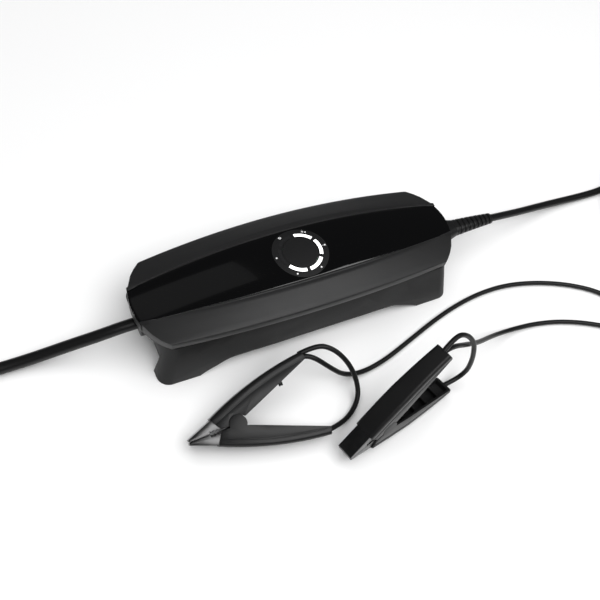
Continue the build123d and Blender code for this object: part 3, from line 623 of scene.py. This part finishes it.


# ---------------------------------------------------------------- bottom shell
# Dark grey moulded shell on four flared corner feet, open underneath between them. Its rim meets the
# cover along a curved line, with a black gasket set back in the joint; its dark matt rubber is also
# painted shade, standing for the shadow line along the joint.

shell_plastic = moulded("shell_plastic", (0.0075, 0.0075, 0.0077), (0.0095, 0.0095, 0.0097), 0.5,
                        1900.0, 0.00004, Specular_IOR_Level=0.25)
softened("bottom_shell", 0.0009, shell_plastic, "case", 3)
# The gasket is a real seal in the joint, and its black matt rubber is also painted shade for the shadow
# line there.
repaint("cover_seal", moulded("gasket_painted_shade", (0.006, 0.006, 0.006), (0.01, 0.01, 0.01), 0.8, 1200.0))


# ---------------------------------------------------------------- cover
# One moulded cover: a crowned middle for the panel, a raised bead along it, a narrow flat band, and
# wings that fall to an upright lip. Its ends are round in plan and overhang the shell.

cover_plastic = moulded("cover_plastic", (0.0115, 0.0115, 0.0117), (0.0145, 0.0145, 0.0148), 0.45,
                        1900.0, 0.00004)
END_CENTRE = 69.3
END_RADIUS = 39.5
LIP_END = 96.0
CROWN_END = 106.0
CROWN_HALF_WIDTH = 19.0
CROWN_RISE = 2.0
BED_DEPTH = 2.15
ROWS_ALONG = 96
END_CROWDING = 0.9


def end_reach(y):
    """How far from its middle the cover reaches, at y across it. Its ends are arcs."""
    return END_CENTRE + math.sqrt(END_RADIUS**2 - y**2)


def bowed(x, at_middle, fall, end):
    """A measure of the cover at x, which is less by that fall at the end than at the middle."""
    return at_middle - fall * (x / end) ** 2


def panel_edge(x):
    """How far out the panel's edge is, and how high."""
    return bowed(x, CROWN_HALF_WIDTH, 7.0, CROWN_END), bowed(x, 45.8, 6.9, CROWN_END)


def lip_half_width(x):
    return bowed(x, 36.8, 6.2, LIP_END)


def lip_bottom(x):
    return bowed(x, 35.1, 3.93, 100.0)


def cover_side(x):
    """One side of the cover across the case at x, from the foot of its lip up to the panel's bed."""
    w = lip_half_width(x)
    lip = bowed(x, 40.0, 3.6, LIP_END)
    edge_y, edge_z = panel_edge(x)
    crease_y = bowed(x, 23.0, 10.1, CROWN_END)
    crease_z = bowed(x, 46.0, 6.9, CROWN_END)
    fall = (crease_z - lip) / (w - crease_y)
    band = crease_y - edge_y
    wing = [(w - back, lip + fall * back) for back in (1.1, 4.0, 8.0)]
    bead = [(0.42, 0.05), (0.36, 0.22), (0.22, 0.30), (0.09, 0.22)]
    points = [(w, lip_bottom(x)), (w, lip - 2.6), (w, lip - 0.8)]
    points += [(w - 0.14, lip - 0.3), (w - 0.5, lip + 0.06)]
    points += wing
    points += [(crease_y + 0.9, crease_z - 0.9 * fall - 0.02), (crease_y + 0.25, crease_z - 0.18)]
    points += [(crease_y - 0.4, crease_z - 0.06), (crease_y - 0.28 * band, crease_z - 0.04)]
    points += [(edge_y + share * band, edge_z + rise) for share, rise in bead]
    points += [(edge_y, edge_z - 0.25), (edge_y, edge_z - BED_DEPTH)]
    points += [(edge_y * 0.8, edge_z - 1.45), (edge_y * 0.5, edge_z - 0.9)]
    return points


def crowned_grid(columns, profile):
    """A grid laid over the case: each column follows one point of the profile from end to end. Its
    rows lie closer together towards the round ends."""
    work = bmesh.new()
    bmesh.ops.create_grid(work, x_segments=ROWS_ALONG, y_segments=columns - 1, size=1.0)
    for vertex in work.verts:
        along = math.sin(vertex.co.x * math.pi / 2 * END_CROWDING) / math.sin(math.pi / 2 * END_CROWDING)
        column = round((vertex.co.y + 1) / 2 * (columns - 1))
        x = 105.0
        for _ in range(6):
            x = end_reach(profile(x)[column][0])
        x *= along
        y, z = profile(x)[column]
        vertex.co = (x, y, z)
    return work


def cover_profile(x):
    side = cover_side(x)
    edge_y, edge_z = panel_edge(x)
    middle = [(0.0, edge_z - BED_DEPTH + CROWN_RISE * (edge_y / CROWN_HALF_WIDTH) ** 2)]
    return [(-y, z) for y, z in side] + middle + side[::-1]


def to_metres(work, name, finish):
    """A new object from a shape that was worked out in millimetres."""
    bmesh.ops.scale(work, vec=(0.001, 0.001, 0.001), verts=work.verts)
    mesh = bpy.data.meshes.new(name)
    work.to_mesh(mesh)
    work.free()
    mesh.materials.append(finish)
    return new_object(name, mesh)


MOULDING_SMOOTH_BELOW = 30.0


def settle(made):
    """Makes a piece's modifiers part of its mesh."""
    bpy.context.view_layer.update()
    depsgraph = bpy.context.evaluated_depsgraph_get()
    mesh = bpy.data.meshes.new_from_object(made.evaluated_get(depsgraph))
    made.modifiers.clear()
    made.data = mesh
    smooth_by_angle(mesh, MOULDING_SMOOTH_BELOW)
    return made


def on_round_end(vertex):
    return abs(vertex.co.x) > 90 and abs(abs(vertex.co.x) - end_reach(vertex.co.y)) < 0.01


# The wings' round ends are drawn down to the lip's foot, and then the whole rim is turned inwards.

TURNED_IN = 2.2
UNDER_RING = (15.0, 15.2)
cover = crowned_grid(len(cover_profile(0.0)), cover_profile)
ends = []
for edge in cover.edges:
    first, second = edge.verts
    has_length = abs(first.co.y - second.co.y) + abs(first.co.z - second.co.z) > 0.001
    if edge.is_boundary and has_length and on_round_end(first) and on_round_end(second):
        ends.append(edge)
dropped = bmesh.ops.extrude_edge_only(cover, edges=ends)["geom"]
for vertex in [g for g in dropped if isinstance(g, bmesh.types.BMVert)]:
    vertex.co.z = lip_bottom(vertex.co.x)
bmesh.ops.remove_doubles(cover, verts=cover.verts, dist=0.002)
rim = [edge for edge in cover.edges if edge.is_boundary]
turned_in = bmesh.ops.extrude_edge_only(cover, edges=rim)["geom"]
for vertex in [g for g in turned_in if isinstance(g, bmesh.types.BMVert)]:
    x, y, z = vertex.co
    vertex.co.y = math.copysign(min(abs(y), lip_half_width(x) - TURNED_IN), y)
    if abs(x) > 94.0 and end_reach(y) - abs(x) < 4.0:
        vertex.co.x = math.copysign(94.5, x)
        vertex.co.z = lip_bottom(vertex.co.x)
bmesh.ops.recalc_face_normals(cover, faces=cover.faces)
bed_opening = []
for face in cover.faces:
    middle = face.calc_center_median()
    if abs(middle.x) < UNDER_RING[0] and abs(middle.y) < UNDER_RING[1]:
        bed_opening.append(face)
bmesh.ops.delete(cover, geom=bed_opening, context="FACES")
top_cover = to_metres(cover, "top_cover_moulding", cover_plastic)
thickness = top_cover.modifiers.new("thickness", "SOLIDIFY")
thickness.thickness = 0.0012
thickness.offset = -1.0
edges = top_cover.modifiers.new("edges", "BEVEL")
edges.width = 0.0006
edges.segments = 2
edges.limit_method = "ANGLE"
edges.angle_limit = math.radians(40.0)
settle(top_cover)
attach(top_cover, "case")
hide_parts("top_cover")


# ---------------------------------------------------------------- panel
# A black polished panel over the whole crown, lying a little below the bead. Round the button it has
# six slots for the light windows and a printed matt disc, and small white marks beside the windows.

SPOKE_STEP = 2.5
CORNER_ANGLE = 35.0
MIDDLE_REACH = 26.3
RING_EDGES = (12.1, 14.3)
DISC_RADIUS = 18.0
PANEL_ROWS = 60
PANEL_GAP = 0.15
SLOT_HALF_ANGLE = 25.0


def panel_top(x, y):
    """Height of the panel's polished face."""
    edge_y, edge_z = panel_edge(x)
    crown = CROWN_RISE * (edge_y / CROWN_HALF_WIDTH) ** 2
    return edge_z - 0.3 + crown * (1 - (y / (edge_y - PANEL_GAP)) ** 2)


def from_middle(finish, reach):
    """How far a spot is from the button's middle, as a share of that reach."""
    flat = finish.node("ShaderNodeMapping", {}, {"Vector": finish.place(), "Scale": (1.0, 1.0, 0.0)})
    distance = finish.node("ShaderNodeVectorMath", {"operation": "LENGTH"}, {0: flat}, "Value")
    return distance / reach


panel_finish = Finish("panel_gloss", Coat_Roughness=0.03)
panel_cloud = panel_finish.noise(14.0, 3.0)
outside_disc = panel_finish.ramp(from_middle(panel_finish, DISC_RADIUS / 500.0), 0.5, 0.503)
polished = panel_finish.mix(panel_cloud, (0.0012, 0.0012, 0.0013), (0.0020, 0.0020, 0.0021))
panel_finish.set("Base Color", panel_finish.mix(outside_disc, (0.0095, 0.0095, 0.0098), polished))
panel_finish.set("Roughness", 0.42 - outside_disc * 0.34 + panel_cloud * 0.06)
panel_finish.set("Coat Weight", outside_disc * 0.5)
panel_gloss = panel_finish.material


def spoke_end(angle):
    """Where a ray from the button's middle leaves the middle stretch of the panel."""
    turn = math.radians(angle)
    ray = Vector((math.cos(turn), math.sin(turn)))
    if abs(math.tan(turn)) <= math.tan(math.radians(CORNER_ANGLE)) + 1e-6:
        return ray * (MIDDLE_REACH / abs(ray.x))
    reach = 18.85
    for _ in range(8):
        reach = (panel_edge(ray.x * reach)[0] - PANEL_GAP) / abs(ray.y)
    return ray * reach


def ring_of_spokes(work, radii, to_edge=True):
    """Rings of faces round the button at those radii, and out to the edge of the middle stretch."""
    spokes = []
    for i in range(round(360 / SPOKE_STEP)):
        turn = math.radians(i * SPOKE_STEP)
        places = [Vector((math.cos(turn), math.sin(turn))) * radius for radius in radii]
        if to_edge:
            end = spoke_end(i * SPOKE_STEP)
            places += [places[-1].lerp(end, share) for share in (0.25, 0.5, 0.75, 1.0)]
        spokes.append([work.verts.new((p.x, p.y, panel_top(p.x, p.y))) for p in places])
    faces = []
    for i, (a, b) in enumerate(zip(spokes, spokes[1:] + spokes[:1])):
        for row in range(len(a) - 1):
            middle = (i + 0.5) * SPOKE_STEP
            faces.append((middle, row, work.faces.new((a[row], a[row + 1], b[row + 1], b[row]))))
    return faces


panel_mesh = bmesh.new()
for middle, row, face in ring_of_spokes(panel_mesh, (11.45, 11.8, *RING_EDGES, 14.9, 15.8)):
    in_slot = abs((middle + 30) % 60 - 30) < SLOT_HALF_ANGLE
    if row == 2 and in_slot:
        bmesh.ops.delete(panel_mesh, geom=[face], context="FACES_ONLY")
to_corner = round(CORNER_ANGLE / SPOKE_STEP)
spoke_angles = [i * SPOKE_STEP for i in range(-to_corner, to_corner + 1)]
for way in (-1, 1):
    rows = []
    for angle in spoke_angles:
        share = math.tan(math.radians(angle)) / math.tan(math.radians(CORNER_ANGLE))
        reach = 108.0
        for _ in range(8):
            reach = end_reach(share * (panel_edge(reach)[0] - PANEL_GAP))
        line = []
        for i in range(PANEL_ROWS + 1):
            x = MIDDLE_REACH + (reach - MIDDLE_REACH) * i / PANEL_ROWS
            y = share * (panel_edge(x)[0] - PANEL_GAP)
            line.append(panel_mesh.verts.new((way * x, y, panel_top(x, y))))
        rows.append(line)
    for a, b in zip(rows, rows[1:]):
        for i in range(PANEL_ROWS):
            panel_mesh.faces.new((a[i], a[i + 1], b[i + 1], b[i])[::way])
bmesh.ops.remove_doubles(panel_mesh, verts=panel_mesh.verts, dist=0.02)
bmesh.ops.recalc_face_normals(panel_mesh, faces=panel_mesh.faces)
if sum(face.normal.z for face in panel_mesh.faces) < 0:
    bmesh.ops.reverse_faces(panel_mesh, faces=panel_mesh.faces)


def thickened(made, thickness, rounding):
    """Gives a moulded sheet its thickness, downwards, and eases its edges."""
    depth = made.modifiers.new("depth", "SOLIDIFY")
    depth.thickness = thickness
    depth.offset = -1.0
    eased = made.modifiers.new("eased", "BEVEL")
    eased.width = rounding
    eased.segments = 2
    eased.limit_method = "ANGLE"
    eased.angle_limit = math.radians(50.0)
    return settle(made)


panel = thickened(to_metres(panel_mesh, "panel_moulding", panel_gloss), 0.0018, 0.00008)
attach(panel, "case")
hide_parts("gloss_panel")

# The white marks are printed on the panel: a dot beside each of four windows, one of them with a dash,
# a struck-out ring beside the fifth, and a triangle with a bar beside the one where charging starts.

MARK_RADIUS = 16.3
INK_HEIGHT = 0.025
ink = Finish("white_ink", Roughness=0.5)
ink.set("Base Color", ink.mix(ink.noise(900.0), (0.74, 0.74, 0.74), (0.86, 0.86, 0.86)))
marks = bmesh.new()


def printed(outline, angle, inner=()):
    """A flat mark on the panel. Its outline is in millimetres outwards and along the ring."""
    turn = math.radians(angle)
    loops = []
    for points in (outline, inner):
        loop = []
        for out, along in points:
            x = (MARK_RADIUS + out) * math.cos(turn) - along * math.sin(turn)
            y = (MARK_RADIUS + out) * math.sin(turn) + along * math.cos(turn)
            loop.append(marks.verts.new((x, y, panel_top(x, y) + INK_HEIGHT)))
        loops.append(loop)
    outer, hollow = loops
    if not hollow:
        marks.faces.new(outer)
        return
    for i in range(len(outer)):
        j = (i + 1) % len(outer)
        marks.faces.new((outer[i], outer[j], hollow[j], hollow[i]))


def circle(radius, out=0.0):
    turns = [math.tau * i / 20 for i in range(20)]
    return [(out + radius * math.cos(turn), radius * math.sin(turn)) for turn in turns]


def bar(out, along, length, width):
    return [(out, along), (out + length, along), (out + length, along + width), (out, along + width)]


for angle in (0, -60, -120, 180):
    printed(circle(0.56, 0.5 if angle == 0 else 0.0), angle)
printed(bar(-1.3, -0.14, 1.3, 0.28), 0)
printed(circle(0.95), 120, circle(0.6))
printed([(-0.6, -0.35), (0.75, 0.5), (0.6, 0.75), (-0.75, -0.1)], 120)
printed([(-0.7, -1.6), (0.7, -1.6), (0.0, -0.3)], 60)
printed(bar(-0.7, 0.1, 1.4, 0.4), 60)
printed(bar(-0.7, 0.9, 1.4, 0.4), 60)
bmesh.ops.recalc_face_normals(marks, faces=marks.faces)
bmesh.ops.reverse_faces(marks, faces=[face for face in marks.faces if face.normal.z < 0])
printed_marks = to_metres(marks, "printed_marks", ink.material)
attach(printed_marks, "case")


# ---------------------------------------------------------------- button and light windows
# The start button is a round piece of the same crown, printed matt like the disc round it. A clear
# guide ring under the panel stands up into the six slots, and four of its windows are lit.

button_finish = Finish("button_print")
button_cloud = button_finish.noise(60.0, 3.0)
button_finish.set("Base Color", button_finish.mix(
    button_cloud, (0.0088, 0.0088, 0.009), (0.0105, 0.0105, 0.0108)))
button_finish.set("Roughness", 0.40 + button_cloud * 0.08)
button_mesh = bmesh.new()
ring_of_spokes(button_mesh, (0.02, 2.0, 4.0, 6.0, 8.0, 9.6, 10.8, 11.3), False)
bmesh.ops.remove_doubles(button_mesh, verts=button_mesh.verts, dist=0.02)
bmesh.ops.reverse_faces(button_mesh, faces=[face for face in button_mesh.faces if face.normal.z < 0])
button_cap = thickened(to_metres(button_mesh, "button_cap", button_finish.material), 0.0017, 0.00015)
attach(button_cap, "start_button")
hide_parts("start_button")

STEM_FOOT = 41.4
STEM_LENGTH = 3.4
stem_mesh = bmesh.new()
bmesh.ops.create_cone(stem_mesh, cap_ends=True, segments=32, radius1=2.0, radius2=2.0, depth=STEM_LENGTH)
bmesh.ops.translate(stem_mesh, vec=(0, 0, STEM_FOOT + STEM_LENGTH / 2), verts=stem_mesh.verts)
bmesh.ops.create_cone(stem_mesh, cap_ends=True, segments=64, radius1=10.3, radius2=10.3, depth=0.9,
                      matrix=Matrix.Translation((0, 0, 45.1)))
button_stem = to_metres(stem_mesh, "button_stem", button_finish.material)
smooth_by_angle(button_stem.data, MOULDING_SMOOTH_BELOW)
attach(button_stem, "start_button")

LAST_LIT = 90.0
FIRST_LIT = -150.0
guide = Finish("light_windows", Roughness=0.3, Emission_Strength=1.6)
axes = guide.node("ShaderNodeSeparateXYZ", {}, {"Vector": guide.place()}, "X")
sideways = Reading(guide, axes.socket.node.outputs["Y"])
bearing = guide.sum_of("ARCTAN2", sideways, axes)
lit = guide.sum_of("MULTIPLY", bearing < math.radians(LAST_LIT), bearing > math.radians(FIRST_LIT))
guide.set("Base Color", guide.mix(lit, (0.014, 0.014, 0.0145), (0.8, 0.8, 0.8)))
guide.set("Emission Color", guide.mix(lit, (0.0, 0.0, 0.0), (1.0, 1.0, 1.0)))
repaint("light_guide", guide.material)
diode = Finish("diode", Roughness=0.4)
diode.set("Base Color", diode.mix(diode.noise(900.0), (0.75, 0.74, 0.68), (0.86, 0.85, 0.8)))
repaint("ring_leds", diode.material)
